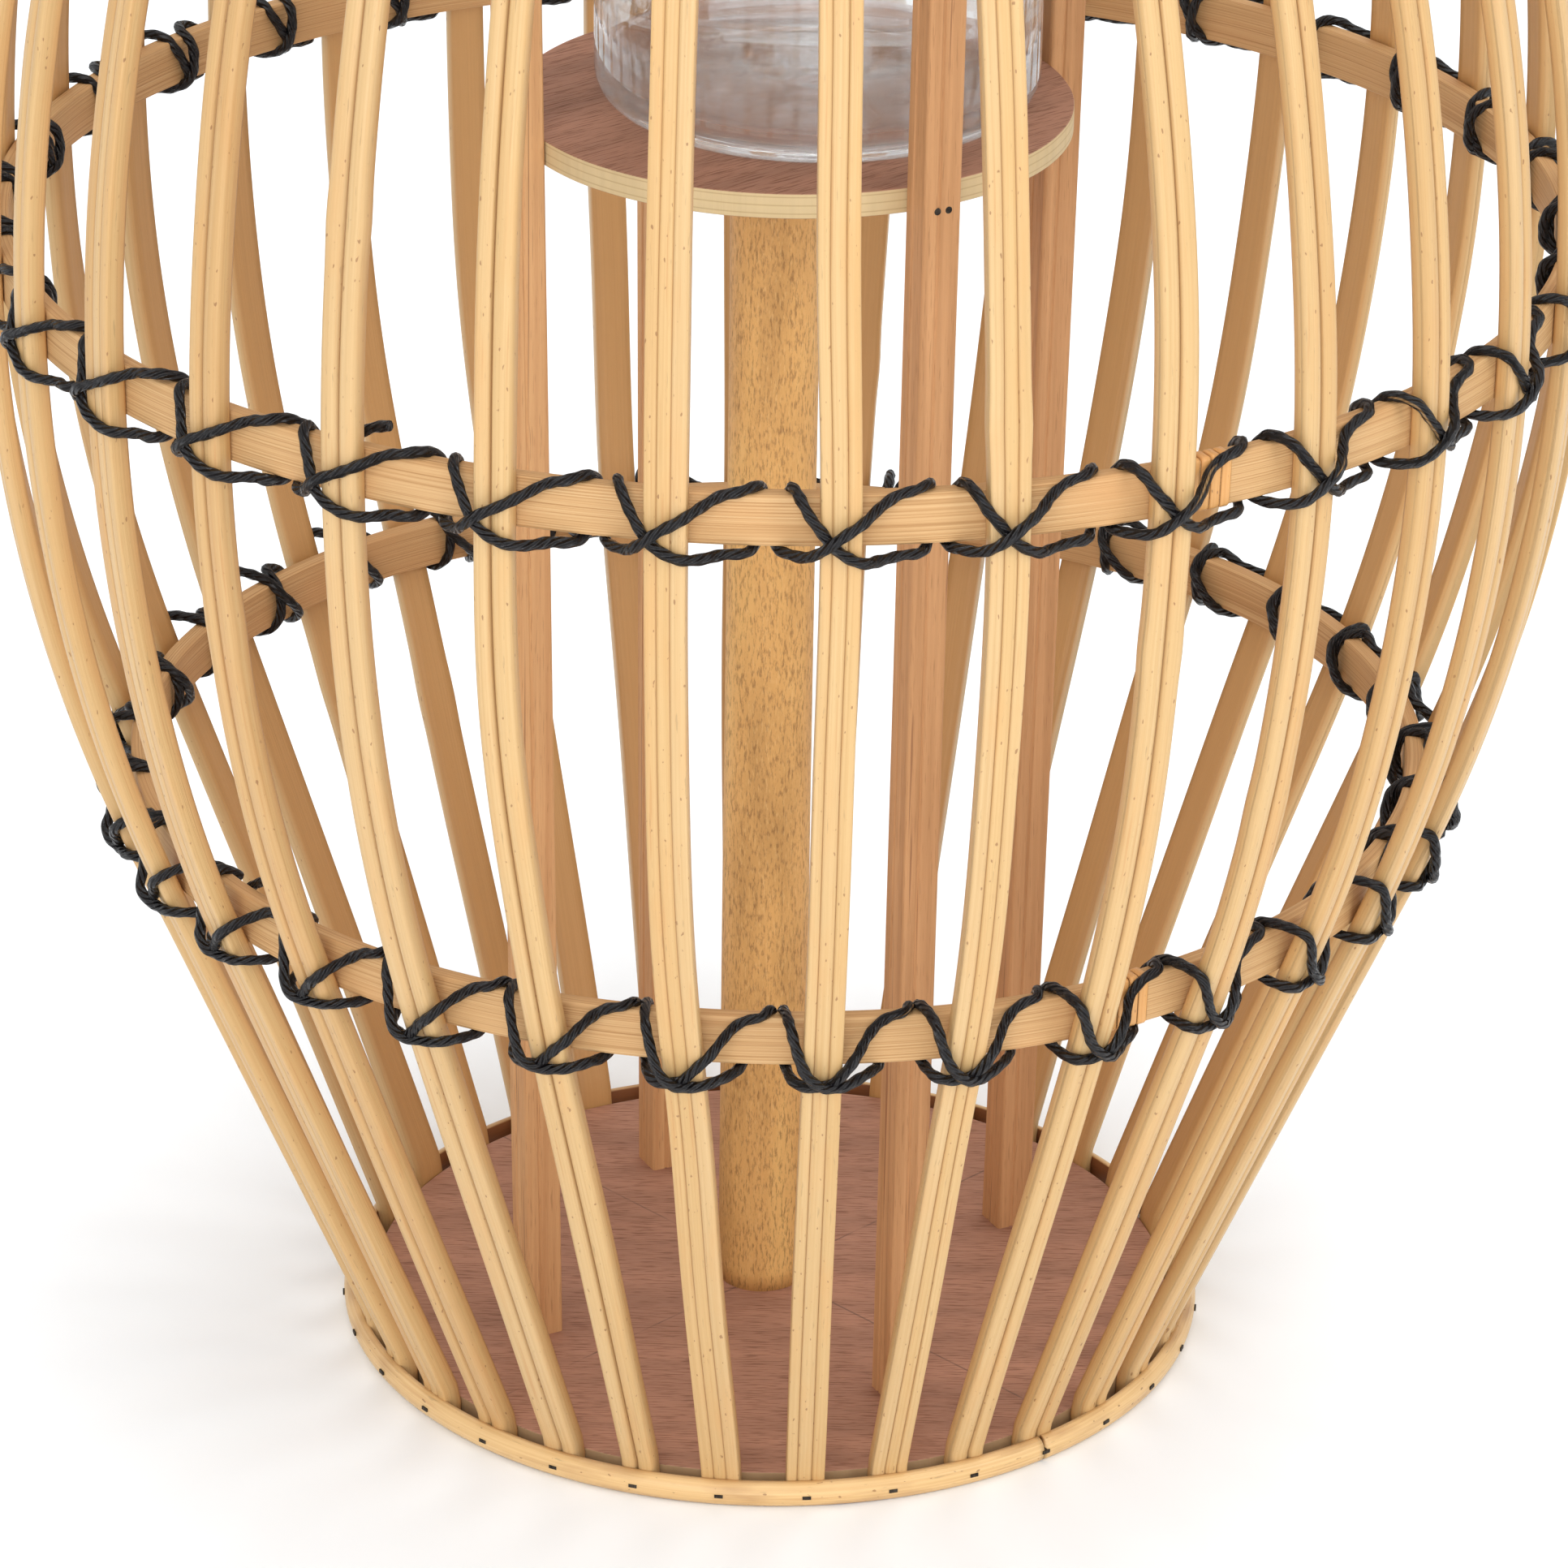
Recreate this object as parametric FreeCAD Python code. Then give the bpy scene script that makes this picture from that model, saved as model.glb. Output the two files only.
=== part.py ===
import FreeCAD, Part
import math
import os

# A floor lantern: a barrel cage of rattan ribs bound to three hoops with waxed cord, a
# plywood base and top ring, and a plywood shelf on a pole and four posts that carries a
# glass cylinder. Millimetres, +Z up, origin at the centre of the underside of the base.

V = FreeCAD.Vector
AXIS = V(0, 0, 1)
ORIGIN = V(0, 0, 0)

# Cage
HEIGHT = 624.0
BELLY_Z = HEIGHT / 2
BELLY_R = 203.0          # outer face of the ribs at the widest place
FOOT_R = 110.8           # outer face of the ribs where the base clamps them
RIB_COUNT = 32
RIB_FIRST_DEG = 3.7      # azimuth of rib_01, from -Y towards +X
RIB_WIDTH = 9.5
RIB_THICK = 5.0
RIB_EDGE_ROUND = 1.6
RIB_SLOPE_DEG = 22.7     # of the straight stretches, from vertical
RIB_LEAN_DEG = 0.5       # each rib leans sideways by this much, about its middle
RIB_END_GAP = 0.5        # the ribs stop this far inside the faces of the boards
BEND_Z = 7.0             # height where a rib's foot bends outwards
BEND_ROUND = 14.0

# Boards and bands
BOARD_THICK = 6.0
BAND_DEEP = 3.5
BAND_TALL = 7.0
BAND_FLAT = 1.4          # part of the band's depth that is square before it rounds over
BAND_JOINT_GAP = 0.6
BAND_JOINT_RIB = 3       # the bands' ends meet over this rib, counted from the first
TOP_HOLE_R = 65.0

# Hoops
HOOP_TALL = 12.5
HOOP_THICK = 4.5
LOWER_HOOP_Z = 160.5
MIDDLE_HOOP_Z = 308.0
UPPER_HOOP_Z = HEIGHT - LOWER_HOOP_Z
HOOP_JOINT_RIB = 2       # the bindings lie past this rib
BINDING_TURNS = 4
BINDING_WIDE = 2.6
BINDING_STEP = 2.9
BINDING_THICK = 0.5
BINDING_PAST_RIB = 11.6

# Lashings: two cords on each hoop, one falling and one rising as they pass each rib
CORD_R = 1.1
CORD_CLEAR = 0.75        # between a cord and the hoop, so that the binding fits under it
CORD_BEND = 1.9
CORD_ON_RIB = 5.0        # where a cord turns at a rib's corners, from the rib's middle
CORD_OFF_RIB = 0.7       # between a cord and the rib that it crosses
CORD_SPLIT = 0.2         # between the two cords where one passes over the other
CORD_SKEW = 0.6          # a cord goes over an edge of the hoop this far aslant, each way

# Frame: made by hand, so its middle and the pole are a little off the cage's axis
FRAME_X = 1.5            # middle of the posts, the shelf and the top board's hole
POLE_X = -2.5
POLE_R = 11.5
POST_SIDE = 10.0
POST_FIRST_DEG = 27.0    # direction of corner_post_1, from +X towards +Y
POST_COUNT = 4
POST_LEAN_DEG = 0.85     # outwards, going up
SHELF_R = 70.0
SHELF_THICK = 6.4
SHELF_TOP_Z = 339.0

# Glass, which stands loose on the shelf and not quite in the middle
GLASS_X = 7.5
GLASS_R = 55.5
GLASS_TALL = 180.0
GLASS_WALL = 2.5
GLASS_FLOOR = 4.0
GLASS_HEEL = 7.0
GLASS_RIM = 1.1

# Nails
BRAD_LONG = 11.0         # the brads in the bands are flat, like staple legs
BRAD_WIDE = 2.2
BRAD_TALL = 0.9
NAIL_HEAD_TALL = 0.5
POST_NAIL_LONG = 25.0
POST_NAIL_R = 0.9
POST_NAIL_HEAD_R = 2.0
SHELF_NAIL_LONG = 18.0
SHELF_NAIL_R = 0.5
SHELF_NAIL_HEAD_R = 0.9
SHELF_NAIL_SPREAD = 3.0

SLOPE = math.radians(RIB_SLOPE_DEG)
LEAN = math.radians(RIB_LEAN_DEG)
PITCH_DEG = 360.0 / RIB_COUNT
# Radius of the belly arc that runs smoothly into both straight stretches
BELLY_ARC = (((BELLY_Z - BEND_Z) * math.tan(SLOPE) - (BELLY_R - FOOT_R))
             / (1 / math.cos(SLOPE) - 1))
FOOT_SHIFT = BELLY_Z * math.tan(LEAN)
BAND_IN_R = math.hypot(FOOT_R, FOOT_SHIFT + RIB_WIDTH / 2)
BAND_OUT_R = BAND_IN_R + BAND_DEEP
BOARD_R = FOOT_R - RIB_THICK
SHELF_Z = SHELF_TOP_Z - SHELF_THICK
POST_LEAN = math.radians(POST_LEAN_DEG)


def polar(radius, azimuth_deg, z=0.0):
    """A point at an azimuth counted from -Y towards +X, as the ribs are."""
    a = math.radians(azimuth_deg)
    return V(radius * math.sin(a), -radius * math.cos(a), z)


def rib_outer_radius(z):
    """Radius of the ribs' outer face, from the bend at the foot to the one at the top."""
    drop = abs(z - BELLY_Z)
    if drop > BELLY_ARC * math.sin(SLOPE):
        return FOOT_R + (BELLY_Z - BEND_Z - drop) * math.tan(SLOPE)
    return BELLY_R - BELLY_ARC + math.sqrt(BELLY_ARC ** 2 - drop ** 2)


def rib_inner_radius(z):
    """Radius of the ribs' inner face at the same heights."""
    drop = abs(z - BELLY_Z)
    inner_arc = BELLY_ARC - RIB_THICK
    if drop > inner_arc * math.sin(SLOPE):
        return rib_outer_radius(z) - RIB_THICK / math.cos(SLOPE)
    return BELLY_R - BELLY_ARC + math.sqrt(inner_arc ** 2 - drop ** 2)


def rib_azimuth(index, z):
    """Where the middle of a rib stands at a height, with its lean."""
    shift = (BELLY_Z - z) * math.tan(LEAN)
    turn = math.degrees(math.atan2(shift, rib_outer_radius(z)))
    return RIB_FIRST_DEG + PITCH_DEG * index + turn


def hoop_radius(z):
    """Outer radius of a hoop that just touches the ribs on the inside."""
    return min(rib_inner_radius(z - HOOP_TALL / 2), rib_inner_radius(z + HOOP_TALL / 2))


# ---------------------------------------------------------------- ribs

def rib_side_points(inset):
    """Ends and middles of the lower half of a rib's face, inset from the outer face."""
    bend = BEND_ROUND + inset
    belly = BELLY_ARC - inset
    bend_r = FOOT_R + BEND_ROUND
    bend_z = BEND_Z - BEND_ROUND * math.tan(SLOPE / 2)
    belly_r = BELLY_R - BELLY_ARC

    def on_bend(angle):
        return V(bend_r - bend * math.cos(angle), 0, bend_z + bend * math.sin(angle))

    def on_belly(angle):
        return V(belly_r + belly * math.cos(angle), 0, BELLY_Z - belly * math.sin(angle))

    foot = V(FOOT_R - inset, 0, RIB_END_GAP)
    return foot, on_bend(0), on_bend(SLOPE / 2), on_bend(SLOPE), on_belly(SLOPE), on_belly(0)


def over_the_top(point):
    """The same point in the upper half, which mirrors the lower one."""
    return V(point.x, point.y, HEIGHT - point.z)


def rib_face_edges(inset):
    """The edges along one face of a rib, from its foot to its top."""
    foot, bend_a, bend_m, bend_b, belly_a, belly_m = rib_side_points(inset)
    top, top_a, top_m, top_b, belly_b = [over_the_top(p) for p in
                                         (foot, bend_a, bend_m, bend_b, belly_a)]
    return [Part.LineSegment(foot, bend_a).toShape(),
            Part.Arc(bend_a, bend_m, bend_b).toShape(),
            Part.LineSegment(bend_b, belly_a).toShape(),
            Part.Arc(belly_a, belly_m, belly_b).toShape(),
            Part.LineSegment(belly_b, top_b).toShape(),
            Part.Arc(top_b, top_m, top_a).toShape(),
            Part.LineSegment(top_a, top).toShape()]


def make_rib():
    """One rib in the XZ plane: a flat strip with its outer edges rounded, and its lean."""
    outer = rib_face_edges(0.0)
    inner = rib_face_edges(RIB_THICK)
    foot_end = Part.LineSegment(inner[0].Vertexes[0].Point, outer[0].Vertexes[0].Point)
    top_end = Part.LineSegment(outer[-1].Vertexes[-1].Point, inner[-1].Vertexes[-1].Point)
    outline = Part.Wire(Part.__sortEdges__(outer + inner + [foot_end.toShape(), top_end.toShape()]))
    strip = Part.Face(outline).extrude(V(0, RIB_WIDTH, 0))
    strip.translate(V(0, -RIB_WIDTH / 2, 0))
    strip = strip.makeFillet(RIB_EDGE_ROUND, rib_long_edges(strip))
    strip.rotate(V(0, 0, BELLY_Z), V(1, 0, 0), RIB_LEAN_DEG)
    return strip


def rib_long_edges(strip):
    """The two outer corners of the strip, each a chain of lines and arcs."""
    chosen = []
    for edge in strip.Edges:
        middle = edge.valueAt((edge.FirstParameter + edge.LastParameter) / 2)
        ends = [v.Point for v in edge.Vertexes]
        along = len(ends) == 2 and abs(ends[0].z - ends[1].z) > 0.1
        if along and abs(abs(middle.y) - RIB_WIDTH / 2) < 1e-6 and is_outer(middle):
            chosen.append(edge)
    return chosen


def is_outer(point):
    """Whether a point of the rib's outline is on its outer face rather than its inner one."""
    low = min(point.z, HEIGHT - point.z)
    if low < BEND_Z:
        return point.x > FOOT_R - RIB_THICK / 2
    return point.x > rib_outer_radius(point.z) - RIB_THICK / 2


def make_ribs():
    rib = make_rib()
    ribs = {}
    for index in range(RIB_COUNT):
        copy = rib.copy()
        copy.rotate(ORIGIN, AXIS, RIB_FIRST_DEG + PITCH_DEG * index - 90)
        ribs["rib_%02d" % (index + 1)] = copy
    return ribs


# ---------------------------------------------------------------- boards, bands and hoops

def make_disc(radius, thick, z, x=0.0):
    return Part.makeCylinder(radius, thick, V(x, 0, z))


def make_top_board():
    z = HEIGHT - BOARD_THICK
    hole = make_disc(TOP_HOLE_R, BOARD_THICK, z, FRAME_X)
    return make_disc(BOARD_R, BOARD_THICK, z).cut(hole)


def make_band(z, joint_deg):
    """A half-round band around the feet or the tops of the ribs, with a gap at its joint."""
    inner, shoulder = BAND_IN_R, BAND_IN_R + BAND_FLAT
    corners = [V(inner, 0, z), V(shoulder, 0, z),
               V(shoulder, 0, z + BAND_TALL), V(inner, 0, z + BAND_TALL)]
    crown = V(BAND_OUT_R, 0, z + BAND_TALL / 2)
    edges = [Part.LineSegment(corners[0], corners[1]).toShape(),
             Part.Arc(corners[1], crown, corners[2]).toShape(),
             Part.LineSegment(corners[2], corners[3]).toShape(),
             Part.LineSegment(corners[3], corners[0]).toShape()]
    gap_deg = math.degrees(BAND_JOINT_GAP / BAND_IN_R)
    band = Part.Face(Part.Wire(edges)).revolve(ORIGIN, AXIS, 360 - gap_deg)
    band.rotate(ORIGIN, AXIS, joint_deg - 90 + gap_deg / 2)
    return band


def make_hoop(z):
    outer = hoop_radius(z)
    base = z - HOOP_TALL / 2
    return make_disc(outer, HOOP_TALL, base).cut(make_disc(outer - HOOP_THICK, HOOP_TALL, base))


def make_binding(z):
    """Flat turns of peel around a hoop, side by side, each a closed loop."""
    outer = hoop_radius(z)
    middle = outer - HOOP_THICK / 2
    first = rib_azimuth(HOOP_JOINT_RIB, z) + math.degrees(BINDING_PAST_RIB / middle)
    turns = []
    for number in range(BINDING_TURNS):
        place = (number - (BINDING_TURNS - 1) / 2) * BINDING_STEP
        turns.append(make_turn(z, outer, first + math.degrees(place / middle)))
    return turns


def make_turn(z, outer, azimuth):
    """One flat loop of peel that follows the hoop's curve."""
    wide_deg = math.degrees(BINDING_WIDE / outer)

    def block(grow):
        low = outer - HOOP_THICK - grow
        section = Part.makePolygon([V(low, 0, z - HOOP_TALL / 2 - grow),
                                    V(outer + grow, 0, z - HOOP_TALL / 2 - grow),
                                    V(outer + grow, 0, z + HOOP_TALL / 2 + grow),
                                    V(low, 0, z + HOOP_TALL / 2 + grow),
                                    V(low, 0, z - HOOP_TALL / 2 - grow)])
        return Part.Face(section).revolve(ORIGIN, AXIS, wide_deg)

    turn = block(BINDING_THICK).cut(block(0.0))
    turn.rotate(ORIGIN, AXIS, azimuth - 90 - wide_deg / 2)
    return turn


# ---------------------------------------------------------------- lashings

def lashing_plan(z):
    """Where both cords cross each rib, and how far from its middle they go over the hoop's
    edges. The crossing is lower on the two outer hoops, towards the near end of the rib."""
    if z == MIDDLE_HOOP_Z:
        return {"cross": -3.0, "fall": (-11.0, 20.9), "rise": (-14.5, 23.2), "slant": 2.8}
    side = -1 if z < MIDDLE_HOOP_Z else 1
    return {"cross": 7.8 * side, "fall": (-9.2, 14.7), "rise": (-9.2, 19.7), "slant": 0.8}


def cord_points(z, rising):
    """The corners of one cord's route, six for each rib."""
    plan = lashing_plan(z)
    enter, leave = plan["rise" if rising else "fall"]
    start = -1 if rising else 1
    outer = hoop_radius(z)
    lift = 2 * CORD_R + CORD_SPLIT if rising else 0.0
    away = CORD_R + CORD_CLEAR
    edge_z = HOOP_TALL / 2 + away
    inside = outer - HOOP_THICK - away - lift
    outside = outer + away
    points = []
    for index in range(RIB_COUNT):
        middle = rib_azimuth(index, z)

        def spot(radius, across, height):
            return polar(radius, middle + math.degrees(across / outer), z + height)

        points.append(spot(inside, enter - CORD_SKEW, start * edge_z))
        points.append(spot(outside, enter + CORD_SKEW, start * edge_z))
        for across in (-CORD_ON_RIB, CORD_ON_RIB):
            height = plan["cross"] - start * plan["slant"] * across / CORD_ON_RIB
            on_rib = rib_outer_radius(z + height) + (CORD_R + CORD_OFF_RIB) / math.cos(SLOPE) + lift
            points.append(spot(on_rib, across, height))
        points.append(spot(outside, leave - CORD_SKEW, -start * edge_z))
        points.append(spot(inside, leave + CORD_SKEW, -start * edge_z))
    return points


def cord_route(points):
    """Straight runs joined by tangent arcs through a list of corners."""
    edges = []
    here = points[0]
    for before, corner, after in zip(points, points[1:], points[2:]):
        back = (before - corner).normalize()
        ahead = (after - corner).normalize()
        half_turn = (math.pi - back.getAngle(ahead)) / 2
        shorter = min((before - corner).Length, (after - corner).Length)
        reach = min(CORD_BEND * math.tan(half_turn), 0.45 * shorter)
        radius = reach / math.tan(half_turn)
        inwards = (back + ahead).normalize()
        crown = corner + inwards * (radius / math.cos(half_turn) - radius)
        edges.append(Part.LineSegment(here, corner + back * reach).toShape())
        edges.append(Part.Arc(corner + back * reach, crown, corner + ahead * reach).toShape())
        here = corner + ahead * reach
    edges.append(Part.LineSegment(here, points[-1]).toShape())
    return edges


def make_cord(z, rising):
    """One cord as a plain round tube, whole from its first tail to its last."""
    points = cord_points(z, rising)
    edges = cord_route(points)
    route = Part.Wire(edges)
    heading = points[1] - points[0]
    section = Part.Wire(Part.makeCircle(CORD_R, points[0], heading))
    tube = route.makePipeShell([section], True, False)
    print("cord at z=%.0f: %.2f m long" % (z, route.Length / 1000),
          "volume ratio %.4f" % (tube.Volume / (math.pi * CORD_R ** 2 * route.Length)))
    return tube


def make_lashing(z):
    return [make_cord(z, rising) for rising in (False, True)]


# ---------------------------------------------------------------- frame and glass

def post_directions():
    return [POST_FIRST_DEG + 360.0 / POST_COUNT * number for number in range(POST_COUNT)]


def turned(shape, direction_deg):
    copy = shape.copy()
    copy.rotate(ORIGIN, AXIS, direction_deg)
    return copy


def in_frame(shape):
    """A shape made beside the +X axis, copied to the places of the four posts."""
    copies = [turned(shape, direction) for direction in post_directions()]
    for copy in copies:
        copy.translate(V(FRAME_X, 0, 0))
    return copies


def post_radius(z):
    """From the frame's middle to a post's inner face, which rests on the shelf's edge."""
    return SHELF_R + (z - SHELF_Z) * math.tan(POST_LEAN)


def make_posts():
    """Square posts that lean outwards and are cut level where they meet the boards."""
    post = Part.makeBox(POST_SIDE, POST_SIDE, 2 * HEIGHT,
                        V(SHELF_R, -POST_SIDE / 2, SHELF_Z - HEIGHT))
    post.rotate(V(SHELF_R, 0, SHELF_Z), V(0, 1, 0), POST_LEAN_DEG)
    room = make_disc(BOARD_R, HEIGHT - 2 * BOARD_THICK, BOARD_THICK)
    posts = in_frame(post.common(room))
    return {"corner_post_%d" % (number + 1): post for number, post in enumerate(posts)}


def make_glass():
    """A flat-bottomed glass cylinder with a rounded heel and a rounded rim."""
    z = SHELF_TOP_Z
    outside = make_disc(GLASS_R, GLASS_TALL, z, GLASS_X)
    outside = outside.makeFillet(GLASS_HEEL, [e for e in outside.Edges if is_circle_at(e, z)])
    inside = make_disc(GLASS_R - GLASS_WALL, GLASS_TALL, z + GLASS_FLOOR, GLASS_X)
    heel = [e for e in inside.Edges if is_circle_at(e, z + GLASS_FLOOR)]
    glass = outside.cut(inside.makeFillet(GLASS_HEEL - GLASS_WALL, heel))
    return glass.makeFillet(GLASS_RIM, [e for e in glass.Edges if is_circle_at(e, z + GLASS_TALL)])


def is_circle_at(edge, z):
    box = edge.BoundBox
    return abs(box.ZMin - z) < 1e-6 and abs(box.ZMax - z) < 1e-6


# ---------------------------------------------------------------- nails

def make_nail(head_at, direction, long, radius, head_radius):
    """A nail whose head is outermost at head_at and whose shank points along direction."""
    head = Part.makeCylinder(head_radius, NAIL_HEAD_TALL, head_at, direction)
    shank = Part.makeCylinder(radius, long, head_at, direction)
    return head.fuse(shank).removeSplitter()


def make_band_brads(z):
    """A flat brad through the band and each rib into the edge of the board."""
    corner = V(BAND_OUT_R - BRAD_LONG, -BRAD_WIDE / 2, z - BRAD_TALL / 2)
    brad = Part.makeBox(BRAD_LONG, BRAD_WIDE, BRAD_TALL, corner)
    return [turned(brad, band_azimuth(index, z) - 90) for index in range(RIB_COUNT)]


def band_azimuth(index, z):
    """The middle of a rib inside a band, where it stands at the foot's radius."""
    shift = (BELLY_Z - z) * math.tan(LEAN)
    return RIB_FIRST_DEG + PITCH_DEG * index + math.degrees(math.atan2(shift, FOOT_R))


def make_post_nails(z, direction):
    """Nails along Z from a board's outer face into the middle of each post."""
    radius = post_radius(z) + POST_SIDE / 2
    nail = make_nail(V(radius, 0, z), direction, POST_NAIL_LONG, POST_NAIL_R, POST_NAIL_HEAD_R)
    return in_frame(nail)


def make_pole_nail():
    return make_nail(V(POLE_X, 0, 0), AXIS, POST_NAIL_LONG, POST_NAIL_R, POST_NAIL_HEAD_R)


def make_shelf_nails():
    """Two brads through each post into the shelf's edge, side by side."""
    nails = []
    z = SHELF_Z + SHELF_THICK / 2
    for side in (-1, 1):
        head_at = V(post_radius(z) + POST_SIDE, side * SHELF_NAIL_SPREAD / 2, z)
        brad = make_nail(head_at, V(-1, 0, 0), SHELF_NAIL_LONG, SHELF_NAIL_R, SHELF_NAIL_HEAD_R)
        nails += in_frame(brad)
    return nails


# ---------------------------------------------------------------- assembly

def make_nodes():
    joint_low = band_azimuth(BAND_JOINT_RIB, BEND_Z / 2)
    joint_high = band_azimuth(BAND_JOINT_RIB, HEIGHT - BEND_Z / 2)
    hoops = {"lower": LOWER_HOOP_Z, "middle": MIDDLE_HOOP_Z, "upper": UPPER_HOOP_Z}
    nodes = make_ribs()
    nodes["base_board"] = make_disc(BOARD_R, BOARD_THICK, 0.0)
    nodes["base_band"] = make_band(0.0, joint_low)
    nodes["base_band_brads"] = make_band_brads(BAND_TALL / 2)
    nodes["base_post_nails"] = make_post_nails(0.0, AXIS) + [make_pole_nail()]
    nodes["centre_pole"] = make_disc(POLE_R, SHELF_Z - BOARD_THICK, BOARD_THICK, POLE_X)
    nodes["shelf_board"] = make_disc(SHELF_R, SHELF_THICK, SHELF_Z, FRAME_X)
    nodes["shelf_nails"] = make_shelf_nails()
    nodes.update(make_posts())
    bindings = []
    for name, z in hoops.items():
        nodes[name + "_hoop"] = make_hoop(z)
        nodes[name + "_lashing"] = make_lashing(z)
        bindings += make_binding(z)
    nodes["hoop_bindings"] = bindings
    nodes["top_board"] = make_top_board()
    nodes["top_band"] = make_band(HEIGHT - BAND_TALL, joint_high)
    nodes["top_band_brads"] = make_band_brads(HEIGHT - BAND_TALL / 2)
    nodes["top_post_nails"] = make_post_nails(HEIGHT, V(0, 0, -1))
    nodes["glass_cylinder"] = make_glass()
    return nodes


def main():
    os.makedirs("parts", exist_ok=True)
    for name, shape in make_nodes().items():
        if isinstance(shape, list):
            shape = Part.makeCompound(shape)
        if not shape.isValid():
            raise RuntimeError(name + " is not a valid shape")
        shape.exportStep("parts/%s.step" % name)


main()
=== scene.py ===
import math
import random

import bpy
import numpy as np
from mathutils import Matrix, Vector


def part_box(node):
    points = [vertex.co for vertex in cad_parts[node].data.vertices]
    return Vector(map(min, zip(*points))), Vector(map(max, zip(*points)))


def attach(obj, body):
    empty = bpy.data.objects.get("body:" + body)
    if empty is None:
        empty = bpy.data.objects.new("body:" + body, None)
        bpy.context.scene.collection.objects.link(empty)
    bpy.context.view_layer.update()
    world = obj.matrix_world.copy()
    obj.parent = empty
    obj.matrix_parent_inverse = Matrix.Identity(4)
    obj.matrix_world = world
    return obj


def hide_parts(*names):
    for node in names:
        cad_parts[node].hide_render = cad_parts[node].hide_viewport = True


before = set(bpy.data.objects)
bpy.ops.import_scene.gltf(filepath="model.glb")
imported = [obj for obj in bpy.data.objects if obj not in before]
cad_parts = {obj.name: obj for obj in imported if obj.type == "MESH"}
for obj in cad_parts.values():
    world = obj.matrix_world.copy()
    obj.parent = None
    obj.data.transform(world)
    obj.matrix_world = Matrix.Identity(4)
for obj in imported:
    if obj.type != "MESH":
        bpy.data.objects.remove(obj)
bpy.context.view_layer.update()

# A floor lantern: a barrel cage of rattan ribs bound to three hoops with waxed cord, two
# round boards, a shelf on a pole and posts, and a glass cylinder. The geometry below is
# worked out in millimetres and scaled once, in new_object.

MM = 0.001
TAU = 2 * math.pi

# The cage's driving dimensions, as the CAD model has them
HEIGHT = 624.0
BELLY_Z = HEIGHT / 2
BELLY_R = 203.0
FOOT_R = 110.8
RIB_COUNT = 32
RIB_FIRST_DEG = 3.7
RIB_WIDTH = 9.5
RIB_THICK = 5.0
RIB_END_GAP = 0.5
BEND_Z = 7.0
BEND_ROUND = 14.0
SLOPE = math.radians(22.7)
LEAN = math.radians(0.5)
PITCH_DEG = 360.0 / RIB_COUNT
BELLY_ARC = (((BELLY_Z - BEND_Z) * math.tan(SLOPE) - (BELLY_R - FOOT_R))
             / (1 / math.cos(SLOPE) - 1))
POST_FIRST_DEG = 27.0
POST_COUNT = 4
POST_SIDE = 10.0
POST_LEAN = math.radians(0.85)
FRAME_X = 1.5
POST_CORNER = 0.7
TOP_HOLE_R = 65.0
HOOP_THICK = 4.5
HOOP_INSET = 0.2         # the visible hoop lies this far inside the CAD one
HOOP_JOINT_RIB = 2
BINDING_PAST_RIB = 11.6  # from that rib's middle to the hoop's joint, along the hoop
BAND_JOINT_RIB = 3
LASH_FIRST_RIB = {"lower": 27, "middle": 29, "upper": 27}     # where the cords' ends are


def span(node):
    """A CAD node's lowest and highest corners, in millimetres."""
    low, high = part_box(node)
    return low / MM, high / MM


# ---------------------------------------------------------------- mesh helpers

def new_object(name, points, faces, smooth=True):
    """A mesh object from points in millimetres."""
    mesh = bpy.data.meshes.new(name)
    mesh.from_pydata([tuple(p) for p in np.asarray(points) * MM], [], faces)
    mesh.validate()
    mesh.polygons.foreach_set("use_smooth", [smooth] * len(mesh.polygons))
    mesh.update()
    piece = bpy.data.objects.new(name, mesh)
    bpy.context.scene.collection.objects.link(piece)
    return piece


def grid_faces(rows, columns, first=0, close_rows=False):
    """Quads between rows of points, where each row is a closed loop."""
    faces = []
    for i in range(rows if close_rows else rows - 1):
        here, there = first + i * columns, first + (i + 1) % rows * columns
        for j in range(columns):
            k = (j + 1) % columns
            faces.append((here + j, here + k, there + k, there + j))
    return faces


def sweep(name, rings, close=False):
    """A solid through rings of points, given as an array (rings, points, 3). Its two ends
    are capped, or joined where it closes on itself."""
    rows, columns, _ = rings.shape
    points = rings.reshape(-1, 3)
    faces = grid_faces(rows, columns, close_rows=close)
    if not close:
        faces.append(tuple(range(columns))[::-1])
        faces.append(tuple(range((rows - 1) * columns, rows * columns)))
    return new_object(name, points, faces)


def keep_values(piece, **values):
    """Stores a number for each point of a mesh, for its material to read."""
    for key, numbers in values.items():
        attribute = piece.data.attributes.new(key, "FLOAT", "POINT")
        attribute.data.foreach_set("value", np.asarray(numbers, np.float32).ravel())


def keep_run(piece, along, across):
    """Stores how far along and across its strip each point is, in metres."""
    run = np.zeros((len(piece.data.vertices), 3), np.float32)
    run[:, 0] = np.asarray(along).ravel() * MM
    run[:, 1] = np.asarray(across).ravel() * MM
    attribute = piece.data.attributes.new("run", "FLOAT_VECTOR", "POINT")
    attribute.data.foreach_set("vector", run.ravel())


def settle(piece, material, body, slot, *nodes):
    """Gives a finished piece its material and body, and hides the CAD nodes it stands for. The slot
    argument is not used.
    """
    piece.data.materials.append(material)
    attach(piece, body)
    if nodes:
        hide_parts(*nodes)
    return piece


class Wander:
    """A smooth random wobble along a length: a few sines of falling size."""

    def __init__(self, rng, size, length, waves=4):
        self.length = length
        self.terms = [(size * rng.uniform(0.5, 1.0) / n, n, rng.uniform(0, TAU))
                      for n in range(1, waves + 1)]

    def __call__(self, s):
        return sum(a * np.sin(TAU * n * s / self.length + p) for a, n, p in self.terms)


# ---------------------------------------------------------------- material helpers

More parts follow.
